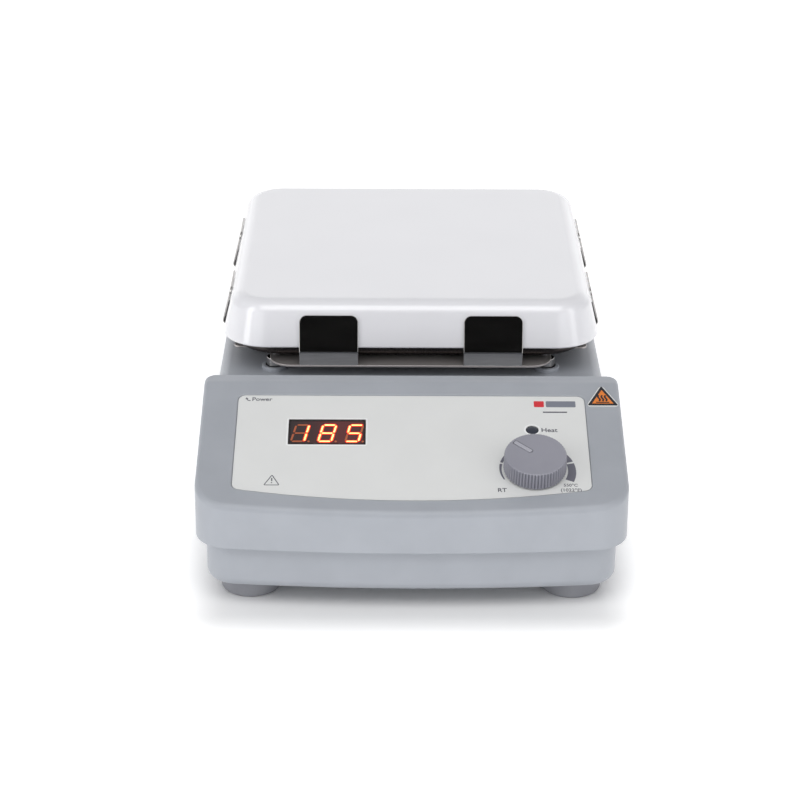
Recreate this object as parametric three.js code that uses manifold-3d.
// Square laboratory hot plate with a sloped front console, as an assembly of separate parts.
// Millimetres, +Z up, front towards -Y. The origin is on the table, under the middle of the outline.

import * as THREE from 'three';
import { mergeVertices } from 'three/addons/utils/BufferGeometryUtils.js';
import Module from 'manifold-3d';

const wasm = await Module();
wasm.setup();

// ---------------------------------------------------------------- driving dimensions

const WIDTH = 215;
const DEPTH = 360;
const HEIGHT = 112;

const FRONT_Y = -DEPTH / 2;
const INLET_FLANGE = 2;
const REAR_Y = DEPTH / 2 - INLET_FLANGE;
const SEAM_Z = 35.5;
const DECK_Z = 70;
const WALL = 3;
const GAP = 0.3;

const RIDGE_Z = 86.4;
const RIDGE_REAR_Y = -76;
const SLOPE_START_Y = -86;
const SLOPE_ANGLE = THREE.MathUtils.degToRad(17);
const SLOPE_WALL = 3.4;
const FRONT_BOW_RADIUS = 900;

const DECK_HALF = 104.2;
const BODY_HALF = 102.5;
const PAN_FRONT_Y = -175;
const PAN_BOTTOM_Z = 11.4;

const PLATE_Y = 58;
// The skirt's slope meets the level of the top at PLATE_TOP_HALF; PLATE_EDGE rounds the two together.
const PLATE_TOP_HALF = 96.1;
const PLATE_SKIRT_HALF = 102;
const PLATE_SKIRT_Z = 87.5;
const PLATE_TOP_CORNER = 20;
const PLATE_SKIRT_CORNER = 25;
const PLATE_EDGE = 8.5;

const FRAME_Z = 77;
const FRAME_SHEET = 1.2;
const FRAME_END_REACH = 102.7;
const FRAME_END_CORNER = 12;
const FRAME_SIDE_REACH = 96.5;
const FRAME_SIDE_CORNER = 3;
const FRAME_ARM_HALF = 76;
const TAB_WIDTH = 31.6;
const TAB_OFFSET = 44;
const TAB_FOLD_REACH = 104;
const TAB_FOLD_Z = 86;
const TAB_LEAN = THREE.MathUtils.degToRad(14.5);
const TAB_LEAN_LENGTH = 20;

const POST_X = 74;
const POST_REACH_Y = 86.5;
const POST_RADIUS = 4.2;
const FOOT_X = 81.2;
const FOOT_Y = 145;
const FOOT_RADIUS = 15.7;

const LABEL_DEPTH = 1.2;
const LABEL_SHEET = 0.5;
const KNOB_X = 61.2;
const KNOB_S = 65.9;
const LAMP_S = 36.2;
const DISPLAY_X = -42.8;
const DISPLAY_S = 38.2;
const DISPLAY_WIDTH = 38.9;
const DISPLAY_HEIGHT = 19.0;

const SWITCH_Y = -118;
const SWITCH_Z = 54;
const INLET_X = -52;
const INLET_Z = 50;

// ---------------------------------------------------------------- materials

const finish = (color, roughness, metalness = 0) =>
  new THREE.MeshStandardMaterial({ color, roughness, metalness });

const GREY_PAINT = finish(0xa6a9b0, 0.55);
const WHITE_CERAMIC = finish(0xe6e6e8, 0.18);
const STAINLESS = finish(0xb8b8ba, 0.15, 1);
const STEEL = finish(0xa0a0a4, 0.35, 1);
const RUBBER = finish(0x77777c, 0.85);
const LABEL_FILM = finish(0xd7d8d6, 0.45);
const RED_FILTER = finish(0x4a1414, 0.1);
const LED_PLASTIC = finish(0x2a1210, 0.5);
const LAMP_LENS = finish(0x23262c, 0.2);
const KNOB_PLASTIC = finish(0x8f8f99, 0.5);
const POINTER_PLASTIC = finish(0xd2d2d6, 0.4);
const BLACK_PLASTIC = finish(0x1c1c1e, 0.5);
const GREEN_BOARD = finish(0x1d5a36, 0.6);
const BRASS = finish(0xc8a24a, 0.3, 1);
const ALUMINIUM = finish(0xc4c6ca, 0.4, 1);
const FIBRE = finish(0xe8e2d2, 0.95);
const CERAMIC_BLOCK = finish(0xe8e4da, 0.5);
const NICHROME = finish(0x8c8680, 0.45, 1);
const WIRE_SLEEVE = finish(0xb8362e, 0.6);
const GLASS = finish(0xdfe6e8, 0.05);
const ORANGE = finish(0xe08a3c, 0.5);

// ---------------------------------------------------------------- solids

// One closed solid from a three.js geometry: positions only, merged, without collapsed triangles.
function solidOf(geometry, matrix = new THREE.Matrix4()) {
  const plain = geometry.clone().applyMatrix4(matrix);
  plain.deleteAttribute('normal');
  plain.deleteAttribute('uv');
  const merged = mergeVertices(plain, 1e-4);
  const triVerts = [];
  const index = merged.index.array;
  for (let i = 0; i < index.length; i += 3) {
    const [a, b, c] = [index[i], index[i + 1], index[i + 2]];
    if (a !== b && b !== c && c !== a) triVerts.push(a, b, c);
  }
  return new wasm.Manifold(new wasm.Mesh({
    numProp: 3,
    vertProperties: new Float32Array(merged.attributes.position.array),
    triVerts: new Uint32Array(triVerts),
  }));
}

function geometryOf(solid) {
  const mesh = solid.getMesh();
  const geometry = new THREE.BufferGeometry();
  geometry.setAttribute('position', new THREE.BufferAttribute(mesh.vertProperties, 3));
  geometry.setIndex(new THREE.BufferAttribute(mesh.triVerts, 1));
  geometry.computeVertexNormals();
  return geometry;
}

const shift = (x, y, z) => new THREE.Matrix4().makeTranslation(x, y, z);
const turnX = (angle) => new THREE.Matrix4().makeRotationX(angle);
const turnZ = (angle) => new THREE.Matrix4().makeRotationZ(angle);

const box = (x, y, z, at = [0, 0, 0]) =>
  solidOf(new THREE.BoxGeometry(x, y, z), shift(...at));

// A cylinder standing on the z of its place.
const rod = (radius, height, sides = 24, at = [0, 0, 0], topRadius = radius) =>
  solidOf(
    new THREE.CylinderGeometry(topRadius, radius, height, sides),
    shift(at[0], at[1], at[2] + height / 2).multiply(turnX(Math.PI / 2)),
  );

// A shape drawn in X and Y, from z = low to z = high, with quarter-round edges of the given sizes.
function slab(shape, low, high, { edge = 0, steps = 3, curve = 4 } = {}) {
  const geometry = new THREE.ExtrudeGeometry(shape, {
    depth: high - low - 2 * edge,
    bevelEnabled: edge > 0,
    bevelThickness: edge,
    bevelSize: edge,
    bevelOffset: -edge,
    bevelSegments: steps,
    curveSegments: curve,
  });
  return solidOf(geometry, shift(0, 0, low + edge));
}

// A shape drawn in Y and Z, extruded along X and centred on x = middle.
function slabAlongX(shape, width, middle = 0, curve = 5) {
  const geometry = new THREE.ExtrudeGeometry(shape, {
    depth: width,
    bevelEnabled: false,
    curveSegments: curve,
  });
  const axes = new THREE.Matrix4().makeBasis(
    new THREE.Vector3(0, 1, 0),
    new THREE.Vector3(0, 0, 1),
    new THREE.Vector3(1, 0, 0),
  );
  return solidOf(geometry, shift(middle - width / 2, 0, 0).multiply(axes));
}

// A shape drawn in X and Z, extruded along Y and centred on y = 0.
function slabAlongY(shape, width, curve = 5) {
  const geometry = new THREE.ExtrudeGeometry(shape, {
    depth: width,
    bevelEnabled: false,
    curveSegments: curve,
  });
  return solidOf(geometry, shift(0, width / 2, 0).multiply(turnX(Math.PI / 2)));
}

const turned = (points, sides = 24) =>
  solidOf(
    new THREE.LatheGeometry(points.map(([r, z]) => new THREE.Vector2(r, z)), sides),
    turnX(Math.PI / 2),
  );

const moved = (solid, matrix) => solid.transform(matrix.elements);

function allOf(solids) {
  return solids.reduce((sum, solid) => sum.add(solid));
}

function outline(points) {
  const shape = new THREE.Shape();
  points.forEach(([x, y], i) => (i ? shape.lineTo(x, y) : shape.moveTo(x, y)));
  shape.closePath();
  return shape;
}

function roundedRect(halfX, halfY, radius, middleX = 0, middleY = 0) {
  const shape = new THREE.Shape();
  const [x, y] = [halfX - radius, halfY - radius];
  const quarter = Math.PI / 2;
  [[x, y], [-x, y], [-x, -y], [x, -y]].forEach(([cx, cy], i) => {
    shape.absarc(cx + middleX, cy + middleY, radius, i * quarter, (i + 1) * quarter);
  });
  shape.closePath();
  return shape;
}

// Plan outline with a bowed front: an arc of bowRadius whose foremost point is at y = front.
function bowedPlan({ half, front, rear, bowRadius, frontCorner, rearCorner }) {
  const shape = new THREE.Shape();
  const bowY = front + bowRadius;
  const cornerX = half - frontCorner;
  const reach = bowRadius - frontCorner;
  const cornerY = bowY - Math.sqrt(reach * reach - cornerX * cornerX);
  const bowAngle = Math.asin(cornerX / reach);
  const down = -Math.PI / 2;
  shape.absarc(0, bowY, bowRadius, down - bowAngle, down + bowAngle);
  shape.absarc(cornerX, cornerY, frontCorner, down + bowAngle, 0);
  shape.absarc(half - rearCorner, rear - rearCorner, rearCorner, 0, Math.PI / 2);
  shape.absarc(-half + rearCorner, rear - rearCorner, rearCorner, Math.PI / 2, Math.PI);
  shape.absarc(-cornerX, cornerY, frontCorner, Math.PI, 1.5 * Math.PI - bowAngle);
  shape.closePath();
  return shape;
}

// ---------------------------------------------------------------- the assembly

const hotPlate = new THREE.Group();

// The console's slope is a frame of its own: x to the right, y up the slope, z out of it.
// Its origin is the middle of the slope's upper edge, so a place s down the slope is y = -s.
const panel = new THREE.Group();
panel.position.set(0, SLOPE_START_Y, RIDGE_Z);
panel.rotation.x = SLOPE_ANGLE;
panel.updateMatrix();
hotPlate.add(panel);
const onPanel = (solid) => moved(solid, panel.matrix);

function addPart(name, solid, material, { parent = hotPlate, at = [0, 0, 0], turn = [0, 0, 0] } = {}) {
  const mesh = new THREE.Mesh(geometryOf(solid), material);
  mesh.name = name;
  mesh.position.set(...at);
  mesh.rotation.set(...turn);
  parent.add(mesh);
  return mesh;
}

const corners = [
  ['front_left', -1, -1],
  ['front_right', 1, -1],
  ['rear_left', -1, 1],
  ['rear_right', 1, 1],
];

// ---------------------------------------------------------------- shapes shared by neighbours

const slopeZ = (y) => RIDGE_Z - (SLOPE_START_Y - y) * Math.tan(SLOPE_ANGLE);

// The console's side profile, drawn in Y and Z, lowered by inset under the ridge and the slope.
function consoleProfile(inset, slopeInset, bottom) {
  const far = FRONT_Y - 10;
  const drop = slopeInset / Math.cos(SLOPE_ANGLE);
  const top = RIDGE_Z - inset;
  const breakY = SLOPE_START_Y + (drop - inset) / Math.tan(SLOPE_ANGLE);
  return outline([
    [RIDGE_REAR_Y - inset, bottom],
    [RIDGE_REAR_Y - inset, top],
    [breakY, top],
    [far, slopeZ(far) - drop],
    [far, bottom],
  ]);
}

const consolePlan = (inset) => bowedPlan({
  half: WIDTH / 2 - inset,
  front: FRONT_Y + inset,
  rear: RIDGE_REAR_Y - inset,
  bowRadius: FRONT_BOW_RADIUS - inset,
  frontCorner: 18 - inset,
  rearCorner: 6 - Math.min(inset, 4),
});

const panPlan = (inset) => bowedPlan({
  half: BODY_HALF - inset,
  front: PAN_FRONT_Y + inset,
  rear: REAR_Y - inset,
  bowRadius: FRONT_BOW_RADIUS - inset,
  frontCorner: 15 - inset,
  rearCorner: 12 - inset,
});

const LABEL_TOP_S = 10.2;
const LABEL_SIDE_S = 80.2;
const LABEL_BOW = 8.1;
const LABEL_HALF = 88.9;
const LABEL_CORNER = 4;

// Label outline in the panel frame: straight top and sides, lower edge bowed by LABEL_BOW.
function labelOutline(grow) {
  const half = LABEL_HALF + grow;
  const corner = LABEL_CORNER + grow;
  const top = -LABEL_TOP_S + grow;
  const bowRadius = (LABEL_HALF * LABEL_HALF + LABEL_BOW * LABEL_BOW) / (2 * LABEL_BOW) + grow;
  const bowY = -LABEL_SIDE_S - LABEL_BOW - grow + bowRadius;
  const cornerX = half - corner;
  const reach = bowRadius - corner;
  const cornerY = bowY - Math.sqrt(reach * reach - cornerX * cornerX);
  const bowAngle = Math.asin(cornerX / reach);
  const down = -Math.PI / 2;
  const shape = new THREE.Shape();
  shape.absarc(0, bowY, bowRadius, down - bowAngle, down + bowAngle);
  shape.absarc(cornerX, cornerY, corner, down + bowAngle, 0);
  shape.absarc(cornerX, top - corner, corner, 0, Math.PI / 2);
  shape.absarc(-cornerX, top - corner, corner, Math.PI / 2, Math.PI);
  shape.absarc(-cornerX, cornerY, corner, Math.PI, 1.5 * Math.PI - bowAngle);
  shape.closePath();
  return shape;
}

const displayBlock = (grow, low, high) => box(
  DISPLAY_WIDTH + 2 * grow,
  DISPLAY_HEIGHT + 2 * grow,
  high - low,
  [DISPLAY_X, -DISPLAY_S, (low + high) / 2],
);

// ---------------------------------------------------------------- upper housing

const BOSS_RADIUS = 6.8;
const BOSS_RISE = 2;
const POST_HOLE = 5;
const LEAD_HOLE = 10;
const SWITCH_FACE_X = 2.4;
const SWITCH_BODY = [16.4, 13, 20];
const SWITCH_BEZEL = [1.6, 16.4, 24];
const SWITCH_POCKET = SWITCH_FACE_X + SWITCH_BEZEL[0];
const INLET_HALF = [13.8, 13];
const INLET_SCREW_X = 20;
const SCREW_POST_X = 92;
const SCREW_POST_YS = [-84, 118];
const CONTROL_BOARD_Z = -13.4;
const CONTROL_BOARD_SHEET = 1.6;
const CONTROL_POSTS = [[-78, -22], [78, -22], [-78, -76], [32, -76]];

function upperHousing() {
  const shell = slab(consolePlan(0), SEAM_Z, RIDGE_Z + 10)
    .intersect(slabAlongX(consoleProfile(0, 0, SEAM_Z), WIDTH + 20));
  const deckPlan = roundedRect(DECK_HALF, (REAR_Y + 96) / 2, 12, 0, (REAR_Y - 96) / 2);
  const deck = slab(deckPlan, SEAM_Z - 12, DECK_Z, { edge: 6, steps: 3 })
    .intersect(box(300, 400, 60, [0, 0, SEAM_Z + 30]));
  const bosses = corners.map(([, sx, sy]) =>
    rod(BOSS_RADIUS, BOSS_RISE + 1, 24, [sx * POST_X, PLATE_Y + sy * POST_REACH_Y, DECK_Z - 1]));
  const outside = allOf([shell, deck, ...bosses]);

  const lip = 3;
  const consoleRoom = slab(consolePlan(WALL), SEAM_Z + lip, RIDGE_Z, { curve: 2 })
    .intersect(slabAlongX(consoleProfile(WALL, SLOPE_WALL, SEAM_Z), WIDTH));
  const deckRoomPlan = roundedRect(
    DECK_HALF - WALL,
    (REAR_Y - WALL + 100) / 2,
    9,
    0,
    (REAR_Y - WALL - 100) / 2,
  );
  const deckRoom = slab(deckRoomPlan, SEAM_Z - 9, DECK_Z - WALL, {
    edge: 3,
    steps: 1,
    curve: 2,
  });
  const mouth = slab(panPlan(WALL), SEAM_Z - 1, SEAM_Z + lip + 0.5, { curve: 2 });
  let housing = outside.subtract(allOf([consoleRoom, deckRoom, mouth]));

  const rib = DECK_HALF - 1.5 - SCREW_POST_X;
  const screwPosts = SCREW_POST_YS.flatMap((y) => [-1, 1].map((side) =>
    rod(5, 16, 12, [side * SCREW_POST_X, y, SEAM_Z])
      .add(box(rib, 6, 16, [side * (SCREW_POST_X + rib / 2), y, SEAM_Z + 8]))));
  const screwHoles = SCREW_POST_YS.flatMap((y) => [-1, 1].map((side) =>
    rod(1.9, 14, 12, [side * SCREW_POST_X, y, SEAM_Z - 2])));
  housing = housing.add(allOf(screwPosts)).subtract(allOf(screwHoles));

  const postHoles = corners.map(([, sx, sy]) =>
    rod(POST_HOLE, 12, 24, [sx * POST_X, PLATE_Y + sy * POST_REACH_Y, DECK_Z - 7]));
  const leadHole = rod(LEAD_HOLE, 12, 24, [0, PLATE_Y, DECK_Z - 7]);
  const labelRecess = onPanel(slab(labelOutline(GAP), -LABEL_DEPTH, 3));
  const displayWindow = onPanel(displayBlock(GAP, -8, 2));
  const lampHole = onPanel(rod(3.3, 8, 20, [KNOB_X, -LAMP_S, -6]));
  const shaftHole = onPanel(rod(3.8, 8, 20, [KNOB_X, -KNOB_S, -6]));
  const switchPocket = box(
    2 * SWITCH_POCKET,
    SWITCH_BEZEL[1] + 2 * GAP,
    SWITCH_BEZEL[2] + 2 * GAP,
    [-WIDTH / 2, SWITCH_Y, SWITCH_Z],
  );
  const switchOpening = box(
    20,
    SWITCH_BODY[1] + 2 * GAP,
    SWITCH_BODY[2] + 2 * GAP,
    [-WIDTH / 2, SWITCH_Y, SWITCH_Z],
  );
  const switchBacking = box(
    4.5,
    SWITCH_BEZEL[1] + 8,
    SWITCH_BEZEL[2] + 8,
    [-WIDTH / 2 + SWITCH_POCKET + 0.75, SWITCH_Y, SWITCH_Z],
  );
  const inletOpening = slab(roundedRect(INLET_HALF[0] + GAP, INLET_HALF[1] + GAP, 3), -6, 6);
  const inletCut = moved(
    inletOpening,
    shift(INLET_X, REAR_Y, INLET_Z).multiply(turnX(Math.PI / 2)),
  );
  const inletScrewHoles = [-1, 1].map((side) =>
    moved(rod(1.8, 10, 12), shift(INLET_X + side * INLET_SCREW_X, REAR_Y + 2, INLET_Z)
      .multiply(turnX(Math.PI / 2))));
  const vents = Array.from({ length: 8 }, (_, i) =>
    box(3, 12, 18, [16 + 8 * i, REAR_Y, INLET_Z]));
  const boardPosts = CONTROL_POSTS.map(([x, y]) => {
    const low = CONTROL_BOARD_Z + CONTROL_BOARD_SHEET / 2 + GAP;
    return onPanel(rod(3, -SLOPE_WALL + 0.6 - low, 12, [x, y, low]));
  });
  return housing
    .add(allOf([switchBacking, ...boardPosts]))
    .subtract(allOf([
      ...postHoles, leadHole, labelRecess, displayWindow, lampHole, shaftHole,
      switchPocket, switchOpening, inletCut, ...inletScrewHoles, ...vents,
    ]));
}

addPart('upper_housing', upperHousing(), GREY_PAINT);

// ---------------------------------------------------------------- base pan and feet

const PAN_RIM_Z = SEAM_Z - 0.4;
const PAN_WALL = 2.6;
const BOARD_POST_Z = 22;
const BOARD_POSTS = [[-34, -58], [34, -58], [-34, 8], [34, 8]];
const FOOT_TOP_Z = PAN_BOTTOM_Z - GAP;

function basePan() {
  const edge = 5.5;
  const outside = slab(panPlan(0), PAN_BOTTOM_Z, PAN_RIM_Z + edge, { edge, steps: 3 })
    .intersect(box(300, 400, PAN_RIM_Z - PAN_BOTTOM_Z, [0, 0, (PAN_RIM_Z + PAN_BOTTOM_Z) / 2]));
  const room = slab(panPlan(PAN_WALL), PAN_BOTTOM_Z + PAN_WALL, PAN_RIM_Z + 12, {
    edge: 3.4,
    steps: 1,
    curve: 2,
  });
  const boardPosts = BOARD_POSTS.map(([x, y]) =>
    rod(4, BOARD_POST_Z - PAN_BOTTOM_Z, 12, [x, y, PAN_BOTTOM_Z]));
  const casePosts = SCREW_POST_YS.flatMap((y) => [-1, 1].map((side) =>
    rod(5, PAN_RIM_Z - PAN_BOTTOM_Z, 12, [side * SCREW_POST_X, y, PAN_BOTTOM_Z])));
  const footScrewHoles = corners.map(([, sx, sy]) =>
    rod(2.6, 12, 16, [sx * FOOT_X, sy * FOOT_Y, PAN_BOTTOM_Z - 4]));
  const caseHoles = SCREW_POST_YS.flatMap((y) => [-1, 1].map((side) =>
    rod(2.3, 30, 12, [side * SCREW_POST_X, y, PAN_BOTTOM_Z - 2])
      .add(rod(4.1, 8, 16, [side * SCREW_POST_X, y, PAN_BOTTOM_Z - 3]))));
  const vents = Array.from({ length: 6 }, (_, i) => [-1, 1].map((side) =>
    box(4, 34, 12, [side * (16 + 9 * i), 114, PAN_BOTTOM_Z]))).flat();
  return outside
    .subtract(room)
    .add(allOf([...boardPosts, ...casePosts]))
    .subtract(allOf([...footScrewHoles, ...caseHoles, ...vents]));
}

addPart('base_pan', basePan(), GREY_PAINT);

function foot() {
  const bore = 2.6;
  const recess = 5.2;
  return turned([
    [recess, 0], [14.8, 0], [15.3, 0.8], [FOOT_RADIUS - 0.1, 8], [FOOT_RADIUS, FOOT_TOP_Z],
    [bore, FOOT_TOP_Z], [bore, 7], [recess, 7], [recess, 0],
  ], 20);
}

function panHeadScrew(shankRadius, shankLength, headRadius, headHeight) {
  return turned([
    [0, -headHeight], [headRadius * 0.75, -headHeight], [headRadius, -headHeight * 0.5],
    [headRadius, 0], [shankRadius, 0], [shankRadius, shankLength], [0, shankLength],
  ], 12);
}

for (const [corner, sx, sy] of corners) {
  addPart(`foot_${corner}`, foot(), RUBBER, { at: [sx * FOOT_X, sy * FOOT_Y, 0] });
  addPart(`foot_screw_${corner}`, panHeadScrew(2, 10, 4.2, 2.6), STEEL, {
    at: [sx * FOOT_X, sy * FOOT_Y, 7 - GAP],
  });
}

for (const y of SCREW_POST_YS) {
  for (const side of [-1, 1]) {
    const place = `${y < 0 ? 'front' : 'rear'}_${side < 0 ? 'left' : 'right'}`;
    addPart(`case_screw_${place}`, panHeadScrew(1.5, 28, 3.6, 2.4), STEEL, {
      at: [side * SCREW_POST_X, y, PAN_BOTTOM_Z + 5 - GAP],
    });
  }
}

// ---------------------------------------------------------------- work plate and what heats it

const PLATE_WALL = 4;

// A pan of square sections, each [half width, corner radius, z], joined by one band of faces.
function squareLoft(sections, steps = 8) {
  const rings = sections.map(([half, corner, z]) => {
    const points = [];
    for (const quadrant of [0, 1, 2, 3]) {
      const cx = (half - corner) * (quadrant === 0 || quadrant === 3 ? 1 : -1);
      const cy = (half - corner) * (quadrant < 2 ? 1 : -1);
      for (let i = 0; i <= steps; i += 1) {
        const angle = (quadrant + i / steps) * Math.PI / 2;
        points.push([cx + corner * Math.cos(angle), cy + corner * Math.sin(angle), z]);
      }
    }
    return points;
  });
  const count = rings[0].length;
  const positions = rings.flat(2);
  const faces = [];
  for (let r = 0; r + 1 < rings.length; r += 1) {
    for (let i = 0; i < count; i += 1) {
      const j = (i + 1) % count;
      const [a, b] = [r * count + i, r * count + j];
      faces.push(a, b, b + count, a, b + count, a + count);
    }
  }
  const last = (rings.length - 1) * count;
  for (let i = 1; i + 1 < count; i += 1) {
    faces.push(0, i + 1, i);
    faces.push(last, last + i, last + i + 1);
  }
  const geometry = new THREE.BufferGeometry();
  geometry.setAttribute('position', new THREE.Float32BufferAttribute(positions, 3));
  geometry.setIndex(faces);
  return solidOf(geometry);
}

function workPlate() {
  const spread = (PLATE_SKIRT_HALF - PLATE_TOP_HALF) / (HEIGHT - PLATE_SKIRT_Z);
  const widen = (PLATE_SKIRT_CORNER - PLATE_TOP_CORNER) / (HEIGHT - PLATE_SKIRT_Z);
  const lean = Math.atan(spread);
  const centre = PLATE_TOP_HALF - PLATE_EDGE * Math.tan((Math.PI / 2 - lean) / 2);
  const steps = 5;
  const edge = Array.from({ length: steps + 1 }, (_, i) => {
    const turn = lean + (i / steps) * (Math.PI / 2 - lean);
    const half = centre + PLATE_EDGE * Math.cos(turn);
    const drop = PLATE_EDGE * (1 - Math.sin(turn));
    const inset = PLATE_TOP_HALF + drop * spread - half;
    return [half, PLATE_TOP_CORNER + drop * widen - inset, HEIGHT - drop];
  });
  const outside = squareLoft([[PLATE_SKIRT_HALF, PLATE_SKIRT_CORNER, PLATE_SKIRT_Z], ...edge]);
  const inside = squareLoft([
    [PLATE_SKIRT_HALF - 3.4, PLATE_SKIRT_CORNER - 3.4, PLATE_SKIRT_Z - 1],
    [PLATE_SKIRT_HALF - 3.6, PLATE_SKIRT_CORNER - 3.6, PLATE_SKIRT_Z],
    [PLATE_TOP_HALF - 3.4, PLATE_TOP_CORNER - 3.4, HEIGHT - PLATE_WALL],
  ]);
  return outside.subtract(inside);
}

addPart('work_plate', workPlate(), WHITE_CERAMIC, { at: [0, PLATE_Y, 0] });

const ELEMENT_Z = 105.2;
const ELEMENT_HEIGHT = 2.2;
const PAD_HALF = 84;
const HEATER_PAN_Z = 80.5;
const HEATER_PAN_TOP = 88.2;

// Flat resistance strip wound in a round spiral.
function heatingElement() {
  const turns = 4;
  const steps = 96;
  const points = Array.from({ length: steps + 1 }, (_, i) => {
    const angle = (i / steps) * turns * 2 * Math.PI;
    const radius = 22 + (56 * i) / steps;
    return new THREE.Vector3(radius * Math.cos(angle), radius * Math.sin(angle), 0);
  });
  const [thick, wide] = [ELEMENT_HEIGHT / 2, 3.5];
  const section = outline([[thick, -wide], [thick, wide], [-thick, wide], [-thick, -wide]]);
  const geometry = new THREE.ExtrudeGeometry(section, {
    steps,
    extrudePath: new THREE.CatmullRomCurve3(points),
    bevelEnabled: false,
  });
  return solidOf(geometry);
}

addPart('heating_element', heatingElement(), NICHROME, { at: [0, PLATE_Y, ELEMENT_Z] });

const pad = slab(roundedRect(PAD_HALF, PAD_HALF, 14), HEATER_PAN_Z + 1.3, ELEMENT_Z - 4)
  .subtract(rod(LEAD_HOLE, 40, 24, [0, 0, 70]));
addPart('insulation_pad', pad, FIBRE, { at: [0, PLATE_Y, 0] });

const heaterPan = slab(roundedRect(95, 95, 24), HEATER_PAN_Z, HEATER_PAN_TOP)
  .subtract(slab(roundedRect(94, 94, 23), HEATER_PAN_Z + 1, HEATER_PAN_TOP + 1))
  .subtract(rod(LEAD_HOLE, 40, 24, [0, 0, 60]));
addPart('heater_pan', heaterPan, STAINLESS, { at: [0, PLATE_Y, 0] });

const sensorZ = HEIGHT - PLATE_WALL - GAP;
addPart('temperature_sensor', box(14, 5, 2.6, [0, 0, -1.3]), STEEL, { at: [0, PLATE_Y, sensorZ] });
addPart('safety_sensor', box(14, 5, 2.6, [0, 0, -1.3]), STEEL, { at: [62, PLATE_Y + 62, sensorZ] });

// ---------------------------------------------------------------- stainless frame with tabs

// One tab: out and up from its arm's edge to the fold, then leaning back along the skirt, with rounded
// top corners. The arm's edge is root inboard of the fold.
function tab(root) {
  const sheet = 1;
  const [sin, cos] = [Math.sin(TAB_LEAN), Math.cos(TAB_LEAN)];
  const [tipY, tipZ] = [TAB_LEAN_LENGTH * sin, TAB_FOLD_Z + TAB_LEAN_LENGTH * cos];
  const out = Math.atan2(root, TAB_FOLD_Z - FRAME_Z);
  const elbow = sheet / Math.cos((out + TAB_LEAN) / 2);
  const elbowTilt = (out - TAB_LEAN) / 2;
  const profile = outline([
    [root, FRAME_Z],
    [root + sheet / Math.cos(out), FRAME_Z],
    [elbow * Math.cos(elbowTilt), TAB_FOLD_Z + elbow * Math.sin(elbowTilt)],
    [tipY + sheet * cos, tipZ - sheet * sin],
    [tipY, tipZ],
    [0, TAB_FOLD_Z],
  ]);
  const strip = slabAlongX(profile, TAB_WIDTH);
  const face = roundedRect(TAB_WIDTH / 2, tipZ / 2, 4, 0, tipZ / 2);
  const mask = moved(slab(face, -60, 60, { curve: 3 }), turnX(Math.PI / 2));
  return moved(strip.intersect(mask), shift(0, -TAB_FOLD_REACH, 0));
}

// The screw stands a little inboard of its post's axis, clear of the frame's edge.
const SCREW_IN_POST = 1.2;

function clipFrame() {
  const arm = (halfX, halfY, corner) => slab(
    roundedRect(halfX, halfY, corner),
    FRAME_Z,
    FRAME_Z + FRAME_SHEET,
  );
  const cross = arm(FRAME_ARM_HALF, FRAME_END_REACH, FRAME_END_CORNER)
    .add(arm(FRAME_SIDE_REACH, FRAME_ARM_HALF, FRAME_SIDE_CORNER));
  const tabs = [0, 1, 2, 3].flatMap((side) => [-1, 1].map((half) => {
    const reach = side % 2 ? FRAME_SIDE_REACH : FRAME_END_REACH;
    const place = turnZ(side * Math.PI / 2).multiply(shift(half * TAB_OFFSET, 0, 0));
    return moved(tab(TAB_FOLD_REACH - reach), place);
  }));
  const holes = corners.map(([, sx, sy]) => rod(
    1.7,
    10,
    12,
    [sx * (POST_X - SCREW_IN_POST), sy * (POST_REACH_Y - SCREW_IN_POST), FRAME_Z - 4],
  ));
  const middle = rod(30, 10, 32, [0, 0, FRAME_Z - 4]);
  return allOf([cross, ...tabs]).subtract(allOf([...holes, middle]));
}

addPart('clip_frame', clipFrame(), STAINLESS, { at: [0, PLATE_Y, 0] });

function post() {
  const top = FRAME_Z - GAP;
  const under = DECK_Z - WALL - GAP;
  const collar = 6.6;
  return turned([
    [0, under - 5], [collar, under - 5], [collar, under], [POST_RADIUS, under],
    [POST_RADIUS, top], [0, top],
  ], 16);
}

function postWithHole(sx, sy) {
  const hole = rod(1.6, 8, 12, [-sx * SCREW_IN_POST, -sy * SCREW_IN_POST, FRAME_Z - 7]);
  return post().subtract(hole);
}

const postScrew = moved(panHeadScrew(1.3, 6, 2.8, 1.6), turnX(Math.PI));
for (const [corner, sx, sy] of corners) {
  const [x, y] = [sx * POST_X, PLATE_Y + sy * POST_REACH_Y];
  addPart(`post_${corner}`, postWithHole(sx, sy), STAINLESS, { at: [x, y, 0] });
  addPart(`post_screw_${corner}`, postScrew, STEEL, {
    at: [x - sx * SCREW_IN_POST, y - sy * SCREW_IN_POST, FRAME_Z + FRAME_SHEET + GAP],
  });
}

// ---------------------------------------------------------------- console front

function frontLabel() {
  const low = -LABEL_DEPTH + GAP;
  return slab(labelOutline(0), low, low + LABEL_SHEET)
    .subtract(displayBlock(GAP, -5, 5))
    .subtract(rod(3.3, 10, 20, [KNOB_X, -LAMP_S, -5]))
    .subtract(rod(6.2, 10, 20, [KNOB_X, -KNOB_S, -5]));
}

addPart('front_label', frontLabel(), LABEL_FILM, { parent: panel });
addPart('display_window', displayBlock(0, -1.6, -LABEL_DEPTH + GAP + LABEL_SHEET), RED_FILTER, {
  parent: panel,
});
addPart('display_module', displayBlock(-0.6, -9.6, -2), LED_PLASTIC, { parent: panel });

const lamp = turned([
  [0, -8], [3.9, -8], [3.9, -SLOPE_WALL - GAP], [2.95, -SLOPE_WALL - GAP],
  [2.95, -0.7], [2.4, -0.2], [0, 0],
], 24);
addPart('heat_indicator', lamp, LAMP_LENS, { parent: panel, at: [KNOB_X, -LAMP_S, 0] });

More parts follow.
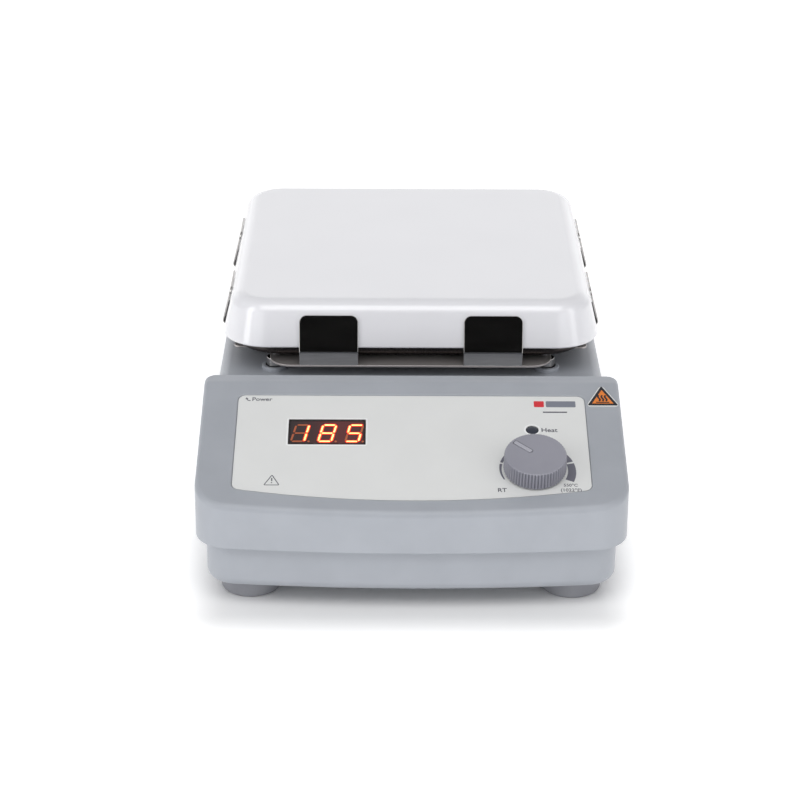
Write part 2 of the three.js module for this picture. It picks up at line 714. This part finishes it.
const KNOB_BASE = 0.6;
const KNOB_TOP = 10.2;
const KNOB_BASE_RADIUS = 15.75;
const KNOB_TOP_RADIUS = 15.5;
const SHAFT_RADIUS = 3;
const POINTER_ANGLE = THREE.MathUtils.degToRad(48.5);
const POINTER_INNER = 2.6;
const POINTER_OUTER = 13.4;
const POINTER_WIDTH = 2.2;

// A bar from POINTER_INNER to POINTER_OUTER, turned from straight up towards the left.
const pointerBar = (grow, low, high) => moved(
  slab(
    roundedRect(
      POINTER_WIDTH / 2 + grow,
      (POINTER_OUTER - POINTER_INNER) / 2 + grow,
      0.5,
      0,
      (POINTER_OUTER + POINTER_INNER) / 2,
    ),
    low,
    high,
    { curve: 2 },
  ),
  turnZ(POINTER_ANGLE),
);

function knob() {
  const body = turned([
    [0, KNOB_BASE], [KNOB_BASE_RADIUS, KNOB_BASE], [KNOB_TOP_RADIUS, KNOB_TOP - 0.9],
    [KNOB_TOP_RADIUS - 0.9, KNOB_TOP], [0, KNOB_TOP],
  ], 48);
  const underside = rod(13.2, 3.4, 32, [0, 0, KNOB_BASE - 0.2]);
  const bore = rod(SHAFT_RADIUS + GAP, 5.6, 20, [0, 0, 0]);
  return body.subtract(underside).subtract(bore).subtract(pointerBar(GAP, KNOB_TOP - 1.2, KNOB_TOP + 1));
}

const knobPlace = { parent: panel, at: [KNOB_X, -KNOB_S, 0] };
addPart('knob', knob(), KNOB_PLASTIC, knobPlace);
addPart('knob_pointer', pointerBar(0, KNOB_TOP - 0.9, KNOB_TOP + 0.3), POINTER_PLASTIC, knobPlace);
addPart('potentiometer_shaft', rod(SHAFT_RADIUS, 15.4, 20, [0, 0, -10]), STEEL, knobPlace);

function potentiometer() {
  const body = rod(8.2, 8, 24, [0, 0, -12.2]);
  const bushing = rod(3.5, 6.4, 20, [0, 0, -4.4]);
  const terminals = [-5, 0, 5].map((x) => box(1.4, 9, 0.8, [x, -10, -10]));
  return allOf([body, bushing, ...terminals]).subtract(rod(SHAFT_RADIUS + GAP, 20, 20, [0, 0, -10.6]));
}

addPart('potentiometer', potentiometer(), ALUMINIUM, knobPlace);

const nut = rod(5.4, 2.2, 6, [0, 0, -LABEL_DEPTH + GAP]).subtract(rod(3.8, 6, 20, [0, 0, -3]));
addPart('potentiometer_nut', nut, BRASS, knobPlace);

const stickerHalf = 7.9;
const stickerTop = 3.0;
const stickerBottom = 18.2;
const sticker = slab(
  outline([[0, -stickerTop], [-stickerHalf, -stickerBottom], [stickerHalf, -stickerBottom]]),
  GAP,
  GAP + 0.2,
);
addPart('hot_surface_sticker', sticker, ORANGE, { parent: panel, at: [98.0, 0, 0] });

// ---------------------------------------------------------------- board behind the console

const controlBoard = box(166, 62, CONTROL_BOARD_SHEET, [0, -49, CONTROL_BOARD_Z]);
addPart('control_board', controlBoard, GREEN_BOARD, { parent: panel });

// ---------------------------------------------------------------- power switch in the left side

// Here x runs into the housing from the bezel's outer face.
const switchPlace = [-WIDTH / 2 + SWITCH_FACE_X, SWITCH_Y, SWITCH_Z];
const ROCKER_TILT = THREE.MathUtils.degToRad(9);
const ROCKER_PIVOT_DEPTH = 3;
const ROCKER_RADIUS = 8.6;
const ROCKER_HALF = 4.8;

function switchBody() {
  const [bezelX, bezelY, bezelZ] = SWITCH_BEZEL;
  const [bodyX, bodyY, bodyZ] = SWITCH_BODY;
  const bezel = box(bezelX, bezelY, bezelZ, [bezelX / 2, 0, 0]);
  const body = box(bodyX, bodyY, bodyZ, [bezelX - 0.2 + bodyX / 2, 0, 0]);
  const wellDepth = 8;
  const well = box(
    2 * wellDepth,
    2 * (ROCKER_HALF + GAP),
    2 * (ROCKER_RADIUS + GAP),
  );
  const terminals = [-6, 0, 6].map((z) => box(8, 4.8, 0.8, [bezelX + bodyX + 3, 0, z]));
  return allOf([bezel, body, ...terminals]).subtract(well);
}

// The rocker about its pivot, level: two face flats that meet in a shallow V, ends round the pivot.
function rocker() {
  const apex = 0.3 - ROCKER_PIVOT_DEPTH;
  const slope = Math.tan(ROCKER_TILT);
  const [a, b, c] = [
    1 + slope * slope,
    -2 * apex * slope,
    apex * apex - ROCKER_RADIUS * ROCKER_RADIUS,
  ];
  const endZ = (-b + Math.sqrt(b * b - 4 * a * c)) / (2 * a);
  const endX = apex - endZ * slope;
  const backX = 1;
  const faceAngle = Math.atan2(endZ, endX);
  const backAngle = Math.acos(backX / ROCKER_RADIUS);
  const shape = new THREE.Shape();
  shape.moveTo(apex, 0);
  shape.absarc(0, 0, ROCKER_RADIUS, -faceAngle, -backAngle);
  shape.absarc(0, 0, ROCKER_RADIUS, backAngle, faceAngle);
  shape.closePath();
  return slabAlongY(shape, 2 * ROCKER_HALF);
}

addPart('switch_body', switchBody(), BLACK_PLASTIC, { at: switchPlace });
addPart('power_rocker', rocker(), BLACK_PLASTIC, {
  at: [switchPlace[0] + ROCKER_PIVOT_DEPTH, SWITCH_Y, SWITCH_Z],
  turn: [0, ROCKER_TILT, 0],
});

// ---------------------------------------------------------------- mains inlet at the rear

// The inlet's own frame: z out of the rear wall, y up, x to the right as seen from behind.
const inlet = new THREE.Group();
inlet.position.set(INLET_X, REAR_Y, INLET_Z);
inlet.rotation.set(-Math.PI / 2, 0, Math.PI);
hotPlate.add(inlet);

const SOCKET_Y = 4;
const SOCKET_HALF = [12.1, 7.9];
const SOCKET_DEPTH = 15;
const INLET_BODY_DEPTH = 24;
const DRAWER_Y = -8.4;
const DRAWER_BAY = [19.4, 6.8];
const PINS = {
  inlet_pin_live: [7, -1.6],
  inlet_pin_neutral: [-7, -1.6],
  inlet_pin_earth: [0, 2.4],
};

function inletBody() {
  const flange = slab(roundedRect(25, 13.8, 3), GAP, INLET_FLANGE, { curve: 2 });
  const body = slab(roundedRect(...INLET_HALF, 2.6), -INLET_BODY_DEPTH, GAP + 0.5, { curve: 2 });
  const socket = moved(
    slab(roundedRect(...SOCKET_HALF, 2), -SOCKET_DEPTH, 10, { curve: 2 }),
    shift(0, SOCKET_Y, 0),
  );
  const drawerBay = box(...DRAWER_BAY, 80, [0, DRAWER_Y, 0]);
  const pinHoles = Object.values(PINS).map(([x, y]) => box(2.6, 4.6, 30, [x, SOCKET_Y + y, -20]));
  const screwHoles = [-1, 1].map((side) =>
    rod(1.8, 10, 12, [side * INLET_SCREW_X, 0, -4])
      .add(rod(3.3, 2, 16, [side * INLET_SCREW_X, 0, INLET_FLANGE - 1.1])));
  return flange.add(body).subtract(allOf([socket, drawerBay, ...pinHoles, ...screwHoles]));
}

addPart('inlet_body', inletBody(), BLACK_PLASTIC, { parent: inlet });

for (const [name, [x, y]] of Object.entries(PINS)) {
  const pin = box(2, 4, 28, [x, SOCKET_Y + y, -16]);
  addPart(name, pin, STEEL, { parent: inlet });
}

const inletScrew = moved(panHeadScrew(1.4, 8, 3, 0.8), turnX(Math.PI));
addPart('inlet_screw_left', inletScrew, STEEL, {
  parent: inlet,
  at: [-INLET_SCREW_X, 0, INLET_FLANGE - 1],
});
addPart('inlet_screw_right', inletScrew, STEEL, {
  parent: inlet,
  at: [INLET_SCREW_X, 0, INLET_FLANGE - 1],
});

const FUSE_RADIUS = 2.5;
const FUSE_LENGTH = 20;

function fuseDrawer() {
  const drawer = box(
    DRAWER_BAY[0] - 2 * GAP,
    DRAWER_BAY[1] - 2 * GAP,
    INLET_BODY_DEPTH + INLET_FLANGE,
    [0, 0, (INLET_FLANGE - INLET_BODY_DEPTH) / 2],
  );
  const trough = box(2 * (FUSE_RADIUS + GAP), 6, FUSE_LENGTH + 2 * GAP, [0, 0.4, -11.5]);
  const fingerSlot = box(8, 2, 1.6, [0, -2.2, INLET_FLANGE]);
  return drawer.subtract(trough).subtract(fingerSlot);
}

addPart('fuse_drawer', fuseDrawer(), BLACK_PLASTIC, { parent: inlet, at: [0, DRAWER_Y, 0] });
addPart('fuse', rod(FUSE_RADIUS, FUSE_LENGTH, 16, [0, 0.3, -21.5]), GLASS, {
  parent: inlet,
  at: [0, DRAWER_Y, 0],
});

// ---------------------------------------------------------------- power electronics on the pan

const FLOOR_Z = PAN_BOTTOM_Z + PAN_WALL + GAP;

const powerBoard = box(84, 80, 1.6, [0, -25, BOARD_POST_Z + GAP + 0.8]);
addPart('power_board', powerBoard, GREEN_BOARD);

const transformer = box(46, 38, 30, [0, 0, 15]).add(box(34, 26, 6, [0, 0, 32.4]));
addPart('control_transformer', transformer, BLACK_PLASTIC, { at: [-52, 68, FLOOR_Z] });

const FIN_COUNT = 7;
function heatSink() {
  const fins = Array.from({ length: FIN_COUNT }, (_, i) => box(1.6, 50, 22, [-29 + 6 * i, 0, 14]));
  return allOf([box(62, 50, 4, [0, 0, 2]), ...fins]);
}

addPart('heat_sink', heatSink(), ALUMINIUM, { at: [52, 66, FLOOR_Z] });
addPart('triac', box(10, 15, 4.5, [22, 0, 2.25]), BLACK_PLASTIC, { at: [52, 66, FLOOR_Z + 4 + GAP] });

function terminalBlock() {
  const holes = Array.from({ length: 5 }, (_, i) =>
    moved(rod(2.2, 30, 12, [-18 + 9 * i, 0, -15]), turnX(Math.PI / 2)));
  return box(48, 18, 17).subtract(allOf(holes));
}

addPart('terminal_block', terminalBlock(), CERAMIC_BLOCK, { at: [0, 103, FLOOR_Z + 8.5] });

// ---------------------------------------------------------------- leads and harnesses

const grommet = turned([
  [6.6, DECK_Z - 6.6], [12.4, DECK_Z - 6.6], [12.4, DECK_Z - WALL - GAP],
  [LEAD_HOLE - GAP, DECK_Z - WALL - GAP], [LEAD_HOLE - GAP, DECK_Z + GAP],
  [12.4, DECK_Z + GAP], [12.4, DECK_Z + 2.3], [6.6, DECK_Z + 2.3], [6.6, DECK_Z - 6.6],
], 20);
addPart('lead_grommet', grommet, RUBBER, { at: [0, PLATE_Y, 0] });
addPart('heater_leads', rod(6, 62, 12, [0, 0, 41]), WIRE_SLEEVE, { at: [0, PLATE_Y, 0] });

function harness(points, radius = 2) {
  const path = new THREE.CatmullRomCurve3(points.map((p) => new THREE.Vector3(...p)));
  const section = new THREE.Shape();
  section.absarc(0, 0, radius, 0, 2 * Math.PI);
  return solidOf(new THREE.ExtrudeGeometry(section, {
    steps: 18,
    extrudePath: path,
    bevelEnabled: false,
    curveSegments: 4,
  }));
}

addPart('mains_harness', harness([
  [-52, 149, 46], [-64, 130, 40], [-80, 96, 34], [-80, 20, 30], [-78, -70, 32], [-74, -100, 44],
  [-73, -116, 54],
]), WIRE_SLEEVE);
addPart('control_cable', harness([
  [20, -52, 28], [20, -66, 36], [10, -84, 46], [0, -96, 56], [0, -104, 62],
]), BLACK_PLASTIC);

export default hotPlate;
